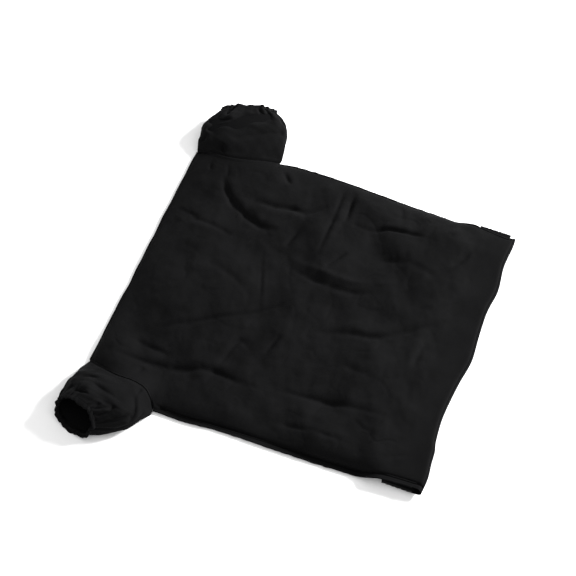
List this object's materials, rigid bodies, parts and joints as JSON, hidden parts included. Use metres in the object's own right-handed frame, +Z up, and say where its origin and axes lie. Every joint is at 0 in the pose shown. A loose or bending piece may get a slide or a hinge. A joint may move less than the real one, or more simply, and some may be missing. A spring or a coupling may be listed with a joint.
{
  "type": "film changing bag",
  "caption": "Light-tight double-layer cloth bag lying flat, with an elastic-cuffed sleeve at each corner of its closed end and its zipped end folded under.",
  "frame": {"origin": "on the surface that the bag lies on, under the middle of its outline", "axes": "+X from the closed end to the folded zip end, +Y from the near sleeve to the far sleeve, +Z up from the surface"},
  "size_m": [0.6213, 0.7236, 0.0541],
  "materials": {
    "outer_cloth": "plain-woven black cotton, matt with a faint sheen",
    "lining_cloth": "smooth black proofed cotton",
    "seam_thread": "sewn and turned seam in black thread",
    "cuff_elastic": "woven black elastic band",
    "zip_tape": "ribbed black polyester tape",
    "zip_coil": "black nylon coil",
    "zip_hardware": "black enamelled zinc"
  },
  "bodies": {
    "bag_body": {"outer_top_panel": "outer_cloth", "outer_bottom_panel": "outer_cloth", "inner_top_panel": "lining_cloth", "inner_bottom_panel": "lining_cloth", "near_side_seam": "seam_thread", "far_side_seam": "seam_thread", "closed_end_seam": "seam_thread", "near_side_lining_seam": "seam_thread", "far_side_lining_seam": "seam_thread", "closed_end_lining_seam": "seam_thread", "near_armhole_seam": "seam_thread", "far_armhole_seam": "seam_thread"},
    "near_sleeve": {"near_sleeve_outer": "outer_cloth", "near_sleeve_lining": "lining_cloth", "near_cuff_casing": "outer_cloth", "near_cuff_elastic": "cuff_elastic"},
    "far_sleeve": {"far_sleeve_outer": "outer_cloth", "far_sleeve_lining": "lining_cloth", "far_cuff_casing": "outer_cloth", "far_cuff_elastic": "cuff_elastic"},
    "zip_end": {"zip_end_outer_top": "outer_cloth", "zip_end_outer_bottom": "outer_cloth", "zip_end_inner_top": "lining_cloth", "zip_end_inner_bottom": "lining_cloth", "zip_end_near_seam": "seam_thread", "zip_end_far_seam": "seam_thread", "zip_end_near_lining_seam": "seam_thread", "zip_end_far_lining_seam": "seam_thread", "outer_zip_facing": "outer_cloth", "outer_zip_fold_side_tape": "zip_tape", "outer_zip_end_side_tape": "zip_tape", "outer_zip_fold_side_coil": "zip_coil", "outer_zip_end_side_coil": "zip_coil", "outer_zip_top_stop": "zip_hardware", "outer_zip_bottom_stop": "zip_hardware", "inner_zip_facing": "lining_cloth", "inner_zip_fold_side_tape": "zip_tape", "inner_zip_end_side_tape": "zip_tape", "inner_zip_fold_side_coil": "zip_coil", "inner_zip_end_side_coil": "zip_coil", "inner_zip_top_stop": "zip_hardware", "inner_zip_bottom_stop": "zip_hardware"},
    "outer_slider": {"outer_zip_slider": "zip_hardware"},
    "outer_pull": {"outer_zip_pull": "zip_hardware"},
    "inner_slider": {"inner_zip_slider": "zip_hardware"},
    "inner_pull": {"inner_zip_pull": "zip_hardware"}
  },
  "joints": [
    {"name": "near_sleeve_lift", "type": "hinge", "parent": "bag_body", "child": "near_sleeve", "pos_m": [-0.21877, -0.25456, 0.026], "axis": [-0.9361, 0.3519, 0], "range_deg": [0, 100]},
    {"name": "far_sleeve_lift", "type": "hinge", "parent": "bag_body", "child": "far_sleeve", "pos_m": [-0.21143, 0.25166, 0.026], "axis": [0.9806, 0.1961, 0], "range_deg": [0, 100]},
    {"name": "zip_end_unfold", "type": "hinge", "parent": "bag_body", "child": "zip_end", "pos_m": [0.3115, 0, 0.0149], "axis": [0, -1, 0], "range_deg": [0, 179]},
    {"name": "outer_zip_slide", "type": "slide", "parent": "zip_end", "child": "outer_slider", "axis": [0, -1, 0], "range_m": [0, 0.49]},
    {"name": "outer_pull_swing", "type": "hinge", "parent": "outer_slider", "child": "outer_pull", "pos_m": [0.27, 0.2511, 0.002], "axis": [1, 0, 0], "range_deg": [0, 165]},
    {"name": "inner_zip_slide", "type": "slide", "parent": "zip_end", "child": "inner_slider", "axis": [0, -1, 0], "range_m": [0, 0.475]},
    {"name": "inner_pull_swing", "type": "hinge", "parent": "inner_slider", "child": "inner_pull", "pos_m": [0.294, 0.2431, 0.0071], "axis": [1, 0, 0], "range_deg": [0, 4]}
  ]
}
